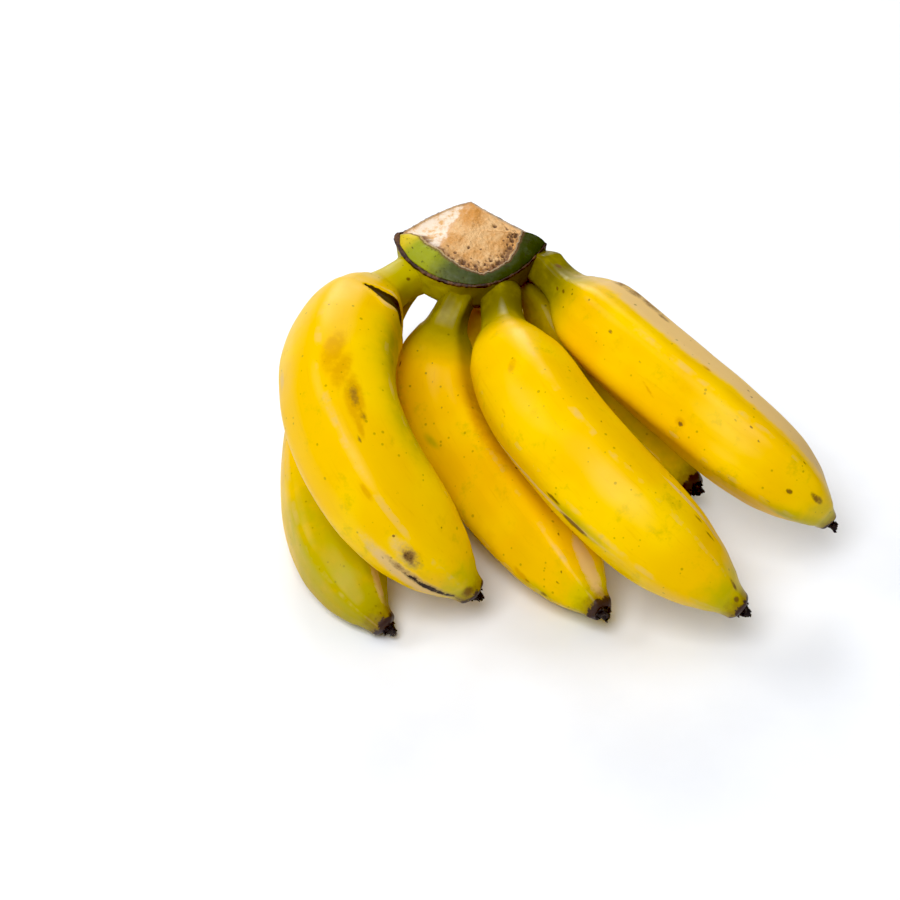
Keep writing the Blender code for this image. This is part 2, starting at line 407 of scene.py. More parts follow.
def finish_mesh(piece):
    """Close the seams, turn the faces outwards and shade the piece smooth."""
    bm = bmesh.new()
    bm.from_mesh(piece.data)
    bmesh.ops.remove_doubles(bm, verts=bm.verts, dist=MERGE_DISTANCE)
    bmesh.ops.recalc_face_normals(bm, faces=bm.faces)
    bm.to_mesh(piece.data)
    bm.free()
    piece.data.shade_smooth()


def dress(piece, node):
    """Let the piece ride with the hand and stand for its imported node."""
    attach(piece, BODY)
    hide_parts(node)


def vertex_places(mesh):
    """The places of a mesh's vertices, one row each."""
    places = np.empty(len(mesh.vertices) * 3)
    mesh.vertices.foreach_get("co", places)
    return places.reshape(-1, 3)


def set_channel(mesh, name, values):
    """Store one number for each vertex under a name."""
    channel = mesh.attributes.get(name) or mesh.attributes.new(name, "FLOAT", "POINT")
    channel.data.foreach_set("value", np.asarray(values, np.float32))


def new_material(name):
    """A material with its node builder and its shader."""
    material = bpy.data.materials.new(name)
    material.use_nodes = True
    build = Nodes(material.node_tree)
    return material, build, material.node_tree.nodes["Principled BSDF"]


def smooth_step(values, low, high):
    """0 below low, 1 above high, and smooth between."""
    share = np.clip((values - low) / (high - low), 0, 1)
    return share * share * (3 - 2 * share)


def colour_setting(name, description, default):
    """A colour in the panel."""
    return FloatVectorProperty(name=name, description=description, subtype="COLOR", default=default)


def length_setting(name, description, default):
    """A length in the panel, in metres."""
    return FloatProperty(name=name, description=description, default=default, unit="LENGTH")


def power_setting(name, description, default):
    """The strength of a light in the panel."""
    return FloatProperty(name=name, description=description, default=default, min=0)


class FingerSettings(bpy.types.PropertyGroup):
    """Shape of the fingers."""

    rings: IntProperty(name="Rings", description="Rings of faces along a finger", default=260, min=40)
    sides: IntProperty(name="Sides", description="Faces round a finger", default=150, min=20)
    ridge_crispness: FloatProperty(
        name="Ridge Crispness", description="How narrow the five ridges are", default=0.4, min=0, max=0.5
    )
    waviness: length_setting("Waviness", "Height of the soft lumps of the peel", 0.0005)
    wave_scale: FloatProperty(name="Wave Scale", description="Soft lumps in a metre", default=42.0, min=1)


class SkinSettings(bpy.types.PropertyGroup):
    """Colours and gloss of the peel."""

    ripe: colour_setting("Ripe Yellow", "Main colour of the peel", (0.82, 0.49, 0.0003))
    lemon: colour_setting("Lemon", "Paler patches of the peel", (0.86, 0.56, 0.0015))
    neck: colour_setting("Neck Green", "Colour of the neck", (0.44, 0.375, 0.003))
    tip: colour_setting("Tip Green", "Colour by the blossom end", (0.50, 0.43, 0.006))
    amber: colour_setting("Amber", "Smears where the peel was rubbed", (0.62, 0.30, 0.006))
    bruise: colour_setting("Bruise", "Brown bruises and freckles", (0.14, 0.06, 0.018))
    char: colour_setting("Dark Scar", "Near black scars", (0.022, 0.013, 0.014))
    # Pale tan of dry rubbed skin; the same colour is painted sheen on the top face of the fourth finger and a
    # painted rim highlight along the third
    tan: colour_setting("Tan", "Dry pale rubbed skin", (0.70, 0.48, 0.21))
    # Dark olive of the freckles, and painted shade on the necks under the crown and on the back fingers
    moss: colour_setting("Moss", "Dark olive of the necks by the crown", (0.16, 0.125, 0.003))
    collar: colour_setting("Collar", "Dried skin round the blossom end", (0.050, 0.030, 0.030))
    roughness: FloatProperty(
        name="Roughness", description="Roughness of the peel", subtype="FACTOR", default=0.40, min=0, max=1
    )


class CrownSettings(bpy.types.PropertyGroup):
    """Shape and colours of the cut crown."""

    lip: length_setting("Scar Lip", "Width of the scar line", 0.0013)
    grain: length_setting("Cut Grain", "Height of the corky cut's grain", 0.00035)
    pit_depth: length_setting("Pit Depth", "Depth of the pits", 0.0007)
    scar: colour_setting("Scar", "The dark line round the crown", (0.045, 0.026, 0.022))
    stain: colour_setting("Stain", "Brown stains round pits and scars", (0.17, 0.085, 0.045))
    band_light: colour_setting("Band Light", "The band on the left", (0.62, 0.47, 0.02))
    band_lime: colour_setting("Band Lime", "Greener parts on the left", (0.30, 0.33, 0.016))
    band_slate: colour_setting("Band Slate", "Grey green parts", (0.062, 0.078, 0.032))
    band_dark: colour_setting("Band Dark", "The band on the right", (0.036, 0.044, 0.004))
    # Skin below the scar line as a painted shaded copy and a painted lit copy for the left
    under: colour_setting("Under", "Skin below the scar line", (0.16, 0.125, 0.004))
    under_lit: colour_setting("Under Left", "Skin below the scar line on the left", (0.42, 0.36, 0.005))
    dry: colour_setting("Dry Skin", "Dried pale skin by the cut", (0.50, 0.38, 0.25))
    cut: colour_setting("Cut", "Dry cut flesh", (0.62, 0.33, 0.115))
    cut_light: colour_setting("Cut Light", "Lighter parts of the cut", (0.72, 0.46, 0.22))
    cut_warm: colour_setting("Cut Warm", "Orange parts of the cut", (0.60, 0.27, 0.06))
    cut_pale: colour_setting("Cut Pale", "Cream facet on the left", (0.84, 0.72, 0.59))


class BlossomSettings(bpy.types.PropertyGroup):
    """Shape and colour of the dried blossom ends."""

    shards: IntProperty(name="Bracts", description="Dried bracts round a blossom end", default=9, min=3)
    seed: IntProperty(name="Seed", description="Draw of the bracts' sizes and turns", default=11)
    dried: colour_setting("Dried", "Colour of the dried bracts", (0.016, 0.011, 0.011))
    dusty: colour_setting("Dusty", "Worn edges of the bracts", (0.10, 0.07, 0.055))


class StageSettings(bpy.types.PropertyGroup):
    """Floor, light and camera."""

    floor_size: length_setting("Floor", "Width of the floor", 6.0)
    main: power_setting("Main Light", "Soft light above the camera's left, in watts", 20.0)
    rear: power_setting("Rear Light", "Light from behind, in watts", 13.0)
    left: power_setting("Left Light", "Light from the left, in watts", 6.0)
    side: power_setting("Side Lights", "Weaker lights above and on the right, in watts", 2.5)
    room: power_setting("Room Light", "Even light of the white room", 0.06)


FINGER_INPUTS = (
    ("Root", "NodeSocketVector"),
    ("Root Handle", "NodeSocketVector"),
    ("Tip Handle", "NodeSocketVector"),
    ("Tip", "NodeSocketVector"),
    ("Belly Radius", "NodeSocketFloat"),
    ("Neck Radius", "NodeSocketFloat"),
    ("Length", "NodeSocketFloat"),
    ("Skin End", "NodeSocketFloat"),
    ("Root Anchor", "NodeSocketVector"),
    ("Neck Share", "NodeSocketFloat"),
    ("Ridge Turn", "NodeSocketFloat"),
    ("Ridge Twist", "NodeSocketFloat"),
    ("Ridge Height", "NodeSocketFloat"),
    ("Ridge Crispness", "NodeSocketFloat"),
    ("Waviness", "NodeSocketFloat"),
    ("Wave Scale", "NodeSocketFloat"),
    ("Rings", "NodeSocketInt"),
    ("Sides", "NodeSocketInt"),
    ("Skin", "NodeSocketMaterial"),
)


def finger_tree():
    """A finger swept along its curve, with five soft ridges and closed ends."""
    build, given = new_tree("Banana finger", FINGER_INPUTS)
    spine = build.add(
        "GeometryNodeCurvePrimitiveBezierSegment",
        {
            "Resolution": SPINE_STEPS,
            "Start": given["Root"],
            "Start Handle": given["Root Handle"],
            "End Handle": given["Tip Handle"],
            "End": given["Tip"],
        },
    ).outputs[0]
    grid = build.add(
        "GeometryNodeMeshGrid",
        {"Size X": 1.0, "Size Y": 1.0, "Vertices X": given["Rings"], "Vertices Y": given["Sides"]},
    ).outputs[0]
    place = build.add("GeometryNodeInputPosition").outputs[0]
    split = build.add("ShaderNodeSeparateXYZ", {0: place}).outputs
    along = build.plus(split[0], 0.5)
    around = build.times(build.plus(split[1], 0.5), math.tau)

    share = build.ranged(along, ROOT_SHARE, TIP_SHARE, 0.0, given["Skin End"], "LINEAR")
    root = build.ranged(along, 0.0, ROOT_SHARE, 1.0, 0.0, "LINEAR")
    tip = build.ranged(along, TIP_SHARE, 1.0, 0.0, math.pi / 2, "LINEAR")
    sample = build.add(
        "GeometryNodeSampleCurve", {"Curves": spine, "Factor": share}, mode="FACTOR", data_type="FLOAT"
    ).outputs
    centre, tangent, normal = sample["Position"], sample["Tangent"], sample["Normal"]
    binormal = build.vector("CROSS_PRODUCT", tangent, normal)

    swell = build.curve(build.maths("DIVIDE", share, given["Neck Share"], clamp=True), SHOULDER)
    width = build.minus(given["Belly Radius"], given["Neck Radius"])
    radius = build.plus(given["Neck Radius"], build.times(width, swell))
    radius = build.times(radius, build.curve(share, TAPER))
    root_share = build.rest(build.maths("POWER", root, ROOT_ROUNDING))
    radius = build.times(radius, root_share)
    radius = build.times(radius, build.maths("COSINE", tip))

    wave = build.maths("COSINE", build.times(around, float(RIDGES)))
    crisp = build.minus(build.times(wave, wave), 1.0)
    lobes = build.plus(build.minus(wave, 1.0), build.times(crisp, given["Ridge Crispness"]))
    lobes = build.times(lobes, given["Ridge Height"])
    radius = build.times(radius, build.plus(lobes, 1.0))

    past_middle = build.minus(share, TWIST_MIDDLE)
    turned = build.plus(around, given["Ridge Turn"])
    turned = build.plus(turned, build.times(past_middle, given["Ridge Twist"]))
    outward = build.vector(
        "SUBTRACT",
        build.scaled(normal, build.maths("SINE", turned)),
        build.scaled(binormal, build.maths("COSINE", turned)),
    )
    shift = build.minus(
        build.times(build.maths("SINE", tip), TIP_LENGTH_MM * MM),
        build.times(root, ROOT_DEPTH_MM * MM),
    )
    core = build.vector("ADD", centre, build.scaled(tangent, shift))
    to_anchor = build.vector("SUBTRACT", given["Root Anchor"], core)
    pull = build.times(build.times(root, root), ANCHOR_PULL)
    core = build.vector("ADD", core, build.scaled(to_anchor, pull))
    surface = build.vector("ADD", core, build.scaled(outward, radius))
    lumps = build.centred(build.noise(surface, given["Wave Scale"], 1.0))
    girth = build.maths("DIVIDE", radius, given["Belly Radius"])
    lift = build.times(build.times(lumps, given["Waviness"]), girth)
    surface = build.vector("ADD", surface, build.scaled(outward, build.times(lift, 2.0)))
    above_table = build.vector("MAXIMUM", surface, TABLE_LIMIT)

    travel = build.plus(build.times(share, given["Length"]), shift)
    straight = build.combined(
        build.times(radius, build.maths("COSINE", around)),
        build.times(radius, build.maths("SINE", around)),
        travel,
    )
    whole = build.maths("DIVIDE", travel, given["Length"])
    # The grid's own places give the fields, so the values are kept before the grid is bent
    kept = grid
    for label, kind, value in (
        ("straight", "FLOAT_VECTOR", straight),
        ("along", "FLOAT", whole),
        ("around", "FLOAT", around),
        ("ridge", "FLOAT", wave),
    ):
        kept = build.add(
            "GeometryNodeStoreNamedAttribute",
            {"Geometry": kept, "Name": label, "Value": value},
            data_type=kind,
            domain="POINT",
        ).outputs[0]
    shaped = build.add("GeometryNodeSetPosition", {"Geometry": kept, "Position": above_table}).outputs[0]
    joined = {"Geometry": shaped, "Distance": MERGE_DISTANCE}
    closed = build.add("GeometryNodeMergeByDistance", joined).outputs[0]
    return close_tree(build, closed, given["Skin"])


# Width of a mark that goes right round a finger
ALL_ROUND = 900.0
# Marks on the peel, by finger: kind, share of the length, degrees round it, length and width in
# millimetres, strength, and the mark's turn in degrees
MARKS = {
    "front_1": (
        ("bruise", 0.056, -69, 2.6, 1.5, 1.0, 20),
        ("amber", 0.450, -14, 19.0, 8.0, 0.80, 22),
        ("amber", 0.490, -20, 16.0, 7.0, 0.75, 30),
        ("amber", 0.550, -26, 17.0, 7.5, 0.95, 12),
        ("bruise", 0.545, -26, 11.0, 5.0, 0.50, 12),
        ("bruise", 0.580, -28, 6.0, 3.4, 0.45, 0),
        ("amber", 0.600, -20, 8.0, 2.6, 0.8, 10),
        ("bruise", 0.618, -14, 3.0, 1.6, 0.6, 0),
        ("amber", 0.694, 6, 6.0, 2.4, 0.85, 0),
        ("tan", 0.444, 57, 9.0, 4.0, 0.5, 0),
        ("olive", 0.400, -92, 60.0, 24.0, 1.0, 0),
        ("olive", 0.610, -78, 44.0, 16.0, 0.8, 0),
        ("bruise", 0.822, 15, 12.0, 8.0, 0.52, 12),
        ("bruise", 0.819, 16, 6.0, 4.6, 0.75, 12),
        ("char", 0.818, 16, 6.0, 4.6, 0.42, 12),
        ("tan", 0.812, 17, 15.0, 9.0, 0.42, 12),
        ("tan", 0.860, 46, 40.0, 8.0, 0.75, 4),
        ("char", 0.905, 42, 30.0, 3.4, 0.62, 3),
        ("bruise", 0.890, 40, 40.0, 5.0, 0.55, 3),
        ("bruise", 0.965, 2, 5.0, 6.0, 0.62, 0),
        ("olive", 0.970, 20, 8.0, 12.0, 0.6, 0),
    ),
    "front_2": (
        # Painted shade of the crown on the neck, over the neck's own dark olive
        ("moss", 0.000, 0, 44.0, ALL_ROUND, 0.9, 0),
        ("olive", 0.405, -19, 8.0, 2.6, 0.8, -14),
        # Long orange strips down both side faces: painted shade
        ("amber", 0.300, 38, 70.0, 9.0, 0.9, -3),
        ("amber", 0.420, -86, 70.0, 12.0, 0.62, 8),
        ("amber", 0.815, -6, 9.0, 2.2, 0.95, 8),
        ("bruise", 0.833, -5, 3.4, 1.2, 0.55, 8),
        ("olive", 0.860, 0, 17.0, 5.0, 0.75, 0),
        ("bruise", 0.880, -2, 4.0, 2.0, 0.55, 0),
        ("bruise", 0.817, -85, 1.1, 1.0, 0.9, 0),
        ("bruise", 0.887, -56, 1.0, 0.9, 0.9, 0),
        ("tan", 0.900, -107, 26.0, 7.0, 0.75, 0),
        ("tan", 0.780, 32, 34.0, 2.6, 0.6, 0),
        ("char", 0.700, 44, 34.0, 2.4, 0.6, 0),
    ),
    "front_3": (
        # Painted shade of the crown on the neck, over the neck's own dark olive
        ("moss", 0.000, 0, 50.0, ALL_ROUND, 1.0, 0),
        ("amber", 0.331, 25, 6.5, 3.4, 0.8, 40),
        ("amber", 0.398, 60, 3.0, 1.2, 0.7, 0),
        ("bruise", 0.581, 84, 6.5, 2.0, 0.95, -8),
        ("bruise", 0.640, 92, 13.0, 3.2, 0.95, -6),
        ("olive", 0.640, 86, 22.0, 7.0, 0.8, -6),
        # Painted rim highlight along the left edge of the finger
        ("tan", 0.500, 100, 80.0, 3.0, 0.7, -8),
        ("bruise", 0.965, 16, 2.6, 2.4, 0.75, 0),
        ("bruise", 0.940, -4, 6.0, 1.8, 0.62, 0),
        ("olive", 0.945, 30, 9.0, 12.0, 0.7, 0),
        ("bruise", 0.800, -28, 5.0, 1.6, 0.62, -10),
        ("bruise", 0.840, -26, 6.0, 1.4, 0.62, -10),
        ("tan", 0.790, -40, 36.0, 3.4, 0.7, -6),
    ),
    "front_4": (
        # Painted shade of the crown on the neck, over the neck's own dark olive
        ("moss", 0.000, 0, 40.0, ALL_ROUND, 1.0, 0),
        # Painted sheen of the light from behind on the top face
        ("tan", 0.420, -49, 96.0, 15.0, 1.0, 0),
        ("tan", 0.740, -47, 56.0, 13.0, 0.95, 0),
        ("bruise", 0.225, -62, 20.0, 7.0, 0.55, 0),
        ("bruise", 0.300, -62, 18.0, 5.0, 0.52, 0),
        ("bruise", 0.350, -58, 8.0, 2.6, 0.60, 0),
        ("amber", 0.545, -24, 4.0, 2.2, 0.95, 0),
        ("bruise", 0.547, -24, 2.0, 1.0, 0.55, 0),
        ("amber", 0.482, 47, 9.0, 0.9, 0.8, 20),
        ("bruise", 0.592, 56, 2.0, 1.6, 0.85, 0),
        ("amber", 0.588, 54, 5.0, 3.4, 0.7, 0),
        ("bruise", 0.679, 12, 0.9, 0.9, 0.8, 0),
        ("bruise", 0.712, 7, 1.3, 1.0, 0.8, 0),
        ("bruise", 0.741, 15, 1.0, 1.0, 0.7, 0),
        ("bruise", 0.829, -5, 1.2, 1.0, 0.8, 0),
        ("bruise", 0.841, 41, 2.2, 2.0, 0.95, 0),
        ("bruise", 0.891, 20, 6.0, 3.0, 0.70, 0),
        ("olive", 0.900, 77, 24.0, 7.0, 0.95, 0),
        ("bruise", 0.040, -22, 4.0, 3.0, 0.6, 0),
        ("bruise", 0.094, 29, 2.2, 1.1, 0.95, 20),
        ("bruise", 0.123, 22, 2.4, 1.2, 0.95, 20),
    ),
    "back_1": (
        # Painted shade over this back finger in dark olive and neck green, over some of its own olive
        ("moss", 0.930, 0, 60.0, ALL_ROUND, 0.55, 0),
        ("olive", 0.800, -40, 60.0, 60.0, 0.9, 0),
        ("tan", 0.880, -84, 34.0, 6.0, 0.6, 0),
    ),
    "back_2": (
        ("bruise", 0.300, 60, 3.0, 2.0, 0.8, 0),
    ),
    "back_3": (
        # Painted shade over the whole of this back finger in dark olive and neck green, over some of its own
        # green
        ("moss", 0.100, 0, 110.0, ALL_ROUND, 0.55, 0),
        ("olive", 0.650, 0, 90.0, ALL_ROUND, 0.75, 0),
    ),
}
MARK_KINDS = ("amber", "bruise", "char", "tan", "olive", "moss")
# Where a mark begins to fade and where it ends, as shares of its half width
MARK_FADE = (0.25, 1.25)
# Gash across a neck: places as share of the length and degrees, with its width in millimetres there
GASHES = {
    "front_1": ((0.227, -32, 2.2), (0.230, -60, 7.5), (0.216, -98, 11.0)),
}
GASH_DEPTH_MM = 0.8
GASH_LIP_MM = 0.45
# Its floor, wall and lip, as shares of its half width
GASH_WALL = (0.35, 1.1)
GASH_LIP_RISE = (0.9, 1.3)
GASH_LIP_FALL = (1.3, 2.2)
GASH_CHAR = (0.05, 0.45)
GASH_LIP_TAN = 0.5
# Small dots scattered over each finger's peel, by a fixed draw: width, length against it, share of the
# finger's length, and strength
DOTS = 26
DOT_SEED = 21
DOT_WIDTH_MM = (0.5, 1.3)
DOT_STRETCH = (1.0, 2.2)
DOT_SHARE = (0.2, 0.97)
DOT_STRENGTH = (0.4, 0.85)


def along_and_around(mesh, length):
    """For each vertex of a finger: way from the root, way to the end, angle in degrees, and radius."""
    straight = np.empty(len(mesh.vertices) * 3)
    mesh.attributes["straight"].data.foreach_get("vector", straight)
    x, y, travel = straight.reshape(-1, 3).T
    return travel, length - travel, np.degrees(np.arctan2(y, x)), np.hypot(x, y)


def paint_marks(piece, name, length):
    """Give every vertex the strength of each kind of mark on it."""
    mesh = piece.data
    travel, to_end, around, radius = along_and_around(mesh, length)
    paint = {kind: np.zeros(len(travel)) for kind in MARK_KINDS}
    dice = random.Random(name + str(DOT_SEED))
    dots = []
    for _ in range(DOTS):
        wide_mm = dice.uniform(*DOT_WIDTH_MM)
        long_mm = wide_mm * dice.uniform(*DOT_STRETCH)
        place = dice.uniform(*DOT_SHARE), dice.uniform(-180, 180)
        dots.append(("bruise", *place, long_mm, wide_mm, dice.uniform(*DOT_STRENGTH), 0))
    for kind, share, angle, long_mm, wide_mm, strength, turn in (*MARKS[name], *dots):
        off_length = travel - share * length
        off_angle = (around - angle + 180) % 360 - 180
        off_side = np.radians(off_angle) * np.maximum(radius, MM)
        turned = math.radians(turn)
        u = off_length * math.cos(turned) + off_side * math.sin(turned)
        v = off_side * math.cos(turned) - off_length * math.sin(turned)
        reach = np.hypot(u / (long_mm * MM / 2), v / (wide_mm * MM / 2))
        paint[kind] = np.maximum(paint[kind], strength * (1 - smooth_step(reach, *MARK_FADE)))
    for kind, values in paint.items():
        set_channel(mesh, kind, values)
    set_channel(mesh, "to_end", to_end / MM)


def cut_gash(piece, name, length):
    """Press a dark gash with a raised lip into the peel where the finger has one."""
    mesh = piece.data
    travel, _, around, radius = along_and_around(mesh, length)
    normals = np.empty(len(mesh.vertices) * 3)
    mesh.vertex_normals.foreach_get("vector", normals)
    places = vertex_places(mesh)
    line = GASHES[name]
    depth = np.zeros(len(places))
    lip = np.zeros(len(places))
    for (share_a, turn_a, wide_a), (share_b, turn_b, wide_b) in zip(line, line[1:]):
        across = np.radians(turn_b - turn_a) * radius
        down = (share_b - share_a) * length
        side = np.radians(around - turn_a) * radius
        way = travel - share_a * length
        part = np.clip((side * across + way * down) / (across ** 2 + down ** 2 + MM ** 4), 0, 1)
        half = (wide_a + (wide_b - wide_a) * part) * MM / 2
        away = np.hypot(side - across * part, way - down * part) / half
        depth = np.maximum(depth, 1 - smooth_step(away, *GASH_WALL))
        rise = smooth_step(away, *GASH_LIP_RISE) * (1 - smooth_step(away, *GASH_LIP_FALL))
        lip = np.maximum(lip, rise * part)
    push = (lip * (1 - depth) * GASH_LIP_MM - depth * GASH_DEPTH_MM) * MM
    places += normals.reshape(-1, 3) * push[:, None]
    mesh.vertices.foreach_set("co", places.ravel())
    for kind, values in (
        ("char", smooth_step(depth, *GASH_CHAR)),
        ("tan", lip * (1 - depth) * GASH_LIP_TAN),
    ):
        old = np.empty(len(places))
        mesh.attributes[kind].data.foreach_get("value", old)
        set_channel(mesh, kind, np.maximum(old, values))
    mesh.update()


# Patterns of the peel, in features a metre
SKIN_PATTERNS = {
    "broad": 38.0,
    "smudges": 75.0,
    "patchy": 150.0,
    "torn_marks": 340.0,
    "torn_end": 420.0,
    "specks": 190.0,
    "freckles": 430.0,
    "streaks": 900.0,
    "grain": 1900.0,
}
STREAK_STRETCH = (1.0, 1.0, 0.07)
# Where the neck's green ends and begins, and where the tip's does, as shares of the length
NECK_GREEN = (0.22, 0.05)
TIP_GREEN = (0.86, 0.97)
# Speckled and dried skin by the blossom end, in millimetres from the end
SPECKLED_END_MM = (8.0, 1.5)
DRIED_END_MM = (3.0, 2.3)
TORN_END_MM = 6.0
SKIN_SHADER = {
    "Subsurface Weight": 0.08,
    "Subsurface Radius": (0.004, 0.0024, 0.0004),
    "Subsurface Scale": 1.0,
    "Specular IOR Level": 0.2,
}


def skin_material(skin):
    """Waxy peel: yellow, green by the neck and tip, with ridges, freckles, smears and bruises."""
    material, build, shader = new_material("banana_skin")
    straight = build.attribute("straight", "Vector")
    along = build.attribute("along")
    ridge = build.attribute("ridge")
    place = build.add("ShaderNodeTexCoord").outputs["Object"]
    scale = SKIN_PATTERNS

    broad = build.noise(place, scale["broad"], 2.0)
    patchy = build.noise(place, scale["patchy"], 3.0, 0.6)
    streaks = build.noise(build.vector("MULTIPLY", straight, STREAK_STRETCH), scale["streaks"], 3.0, 0.65)
    grain = build.noise(place, scale["grain"], 2.0, 0.6)
    smudges = build.noise(place, scale["smudges"], 5.0, 0.75)
    torn_marks = build.centred(build.noise(place, scale["torn_marks"], 5.0, 0.75))
    torn_end = build.centred(build.noise(place, scale["torn_end"], 4.0, 0.7))

    # Ripe peel with paler, duller, greener and streaky patches
    colour = build.blend(build.ranged(broad, 0.42, 0.66), skin.ripe, skin.lemon)
    colour = build.blend(build.ranged(patchy, 0.55, 0.80, 0.0, 0.20), colour, skin.amber)
    colour = build.blend(build.times(build.ranged(smudges, 0.56, 0.72), 0.42), colour, skin.neck)
    colour = build.blend(build.ranged(streaks, 0.56, 0.78, 0.0, 0.22), colour, skin.amber)

    # Green neck and tip; painted shade in dark olive on the necks under the crown and on the back fingers,
    # over their own olive; olive places, on the back fingers partly painted shade
    neck = build.plus(along, build.times(build.centred(broad), 0.10))
    colour = build.blend(build.ranged(neck, *NECK_GREEN, 0.0, 0.92), colour, skin.neck)
    tip = build.plus(along, build.times(build.centred(patchy), 0.12))
    colour = build.blend(build.ranged(tip, *TIP_GREEN, 0.0, 0.85), colour, skin.tip)
    moss_and_shade_mask = build.times(build.attribute("moss"), build.ranged(patchy, 0.2, 0.6, 0.6, 1.0))
    colour = build.blend(moss_and_shade_mask, colour, skin.moss)
    olive = build.times(build.attribute("olive"), build.ranged(patchy, 0.25, 0.65, 0.5, 1.0))
    colour = build.blend(olive, colour, skin.neck)

    # Rubbed ridges
    worn = build.times(build.ranged(ridge, 0.90, 1.0), build.ranged(patchy, 0.46, 0.70, 0.0, 0.35))
    worn = build.times(worn, build.ranged(along, 0.26, 0.36))
    colour = build.blend(worn, colour, skin.tan)

    # Marks, each torn at its edge: where it begins and is full, and its cover
    torn = build.times(torn_marks, 2.0)
    masks = {}
    for kind, low, full, cover in (
        ("tan", 0.15, 0.65, 0.85),
        ("amber", 0.15, 0.85, 0.70),
        ("bruise", 0.22, 0.72, 0.86),
        ("char", 0.38, 0.52, 0.96),
    ):
        mark = build.attribute(kind)
        masks[kind] = build.plus(mark, build.times(torn, mark))
        colour = build.blend(build.ranged(masks[kind], low, full, 0.0, cover), colour, getattr(skin, kind))

    # Freckles, denser towards the neck, and a few brown specks
    freckles = build.dots(place, scale["freckles"], 0, 0.55, 0.24, -0.02, 0.08)
    freckles = build.times(freckles, build.ranged(along, 0.05, 0.40, 0.9, 0.45))
    colour = build.blend(freckles, colour, skin.moss)
    speck = build.dots(place, scale["specks"], 1, 0.86, 0.10, -0.01, 0.04, 0.85)
    colour = build.blend(speck, colour, skin.bruise)
    to_end = build.plus(build.attribute("to_end"), build.times(torn_end, TORN_END_MM))
    colour = build.blend(build.ranged(to_end, *SPECKLED_END_MM, 0.0, 0.75), colour, skin.bruise)
    colour = build.blend(build.ranged(to_end, *DRIED_END_MM, 0.0, 0.95), colour, skin.collar)
    build.feed(shader.inputs["Base Color"], colour)

    dry = build.maths("MAXIMUM", masks["bruise"], masks["tan"])
    rough = build.plus(skin.roughness, build.times(build.centred(patchy), 0.22))
    rough = build.plus(rough, build.ranged(dry, 0.2, 0.8, 0.0, 0.22), clamp=True)
    build.feed(shader.inputs["Roughness"], rough)

    height = build.plus(build.times(streaks, 0.5), build.times(grain, 0.16))
    height = build.plus(height, build.times(patchy, 0.9))
    height = build.minus(height, build.times(speck, 0.5))
    build.feed(shader.inputs["Normal"], build.bump(0.35, 0.00012, height))
    for socket, value in SKIN_SHADER.items():
        shader.inputs[socket].default_value = value
    return material


class BANANA_OT_fingers(bpy.types.Operator):
    """Make the seven fingers of the hand"""

    bl_idname = "banana.make_fingers"
    bl_label = "Make Fingers"

    def execute(self, context):
        shape = context.scene.banana_fingers
        material = skin_material(context.scene.banana_skin)
        tree = finger_tree()
        for name, (*_, girth, neck) in FINGERS.items():
            points, length = finger_points(name)
            turn, twist, height, neck_share = HABITS[name]
            front = name.startswith("front")
            piece = mesh_from_tree(
                "banana_" + name,
                tree,
                {
                    "Root": points[0],
                    "Root Handle": points[1],
                    "Tip Handle": points[2],
                    "Tip": points[3],
                    "Belly Radius": girth / 2 * MM,
                    "Neck Radius": neck / 2 * MM,
                    "Length": length,
                    "Skin End": 1 - TIP_BACK_MM * MM / length,
                    "Root Anchor": to_world(ANCHOR_MM),
                    "Neck Share": neck_share,
                    "Ridge Turn": math.radians(turn),
                    "Ridge Twist": math.radians(twist),
                    "Ridge Height": height,
                    "Ridge Crispness": shape.ridge_crispness,
                    "Waviness": shape.waviness,
                    "Wave Scale": shape.wave_scale,
                    "Rings": shape.rings if front else shape.rings * 3 // 4,
                    "Sides": shape.sides if front else shape.sides * 3 // 4,
                    "Skin": material,
                },
            )
            finish_mesh(piece)
            paint_marks(piece, name, length)
            if name in GASHES:
                cut_gash(piece, name, length)
            dress(piece, "finger_" + name)
        return {"FINISHED"}


# Stub: core's top and length, then a shred's foot, top and length, against the stub's radius and length
CORE_TOP = 0.42
CORE_LENGTH = 0.80
SHRED_FOOT = 0.34
SHRED_TOP = 0.16
SHRED_LENGTH = 0.30
# Rings of bracts: radius, height, lean outwards, and share of the bracts
BRACT_RINGS = ((0.84, 0.10, 0.60, 1.0), (0.34, 0.66, 0.12, 0.7))
BRACT_TURNS = {"Min": (-0.4, -0.4, -3.0), "Max": (0.4, 0.4, 3.0)}
BRACT_SIZES = {"Min": (0.7, 0.35, 0.6), "Max": (1.4, 0.8, 1.25)}
RING_SEEDS = 10.0
CRUMBS = {"Scale": 520.0, "Detail": 3.0, "Roughness": 0.6}
CRUMB_HEIGHT = 0.0018
CRUMB_SHIFT = 0.1
STUB_BASE_SHARE = 0.36

BLOSSOM_INPUTS = (
    ("End", "NodeSocketVector"),
    ("Direction", "NodeSocketVector"),
    ("Radius", "NodeSocketFloat"),
    ("Length", "NodeSocketFloat"),
    ("Bracts", "NodeSocketInt"),
    ("Seed", "NodeSocketInt"),
    ("Dried", "NodeSocketMaterial"),
)


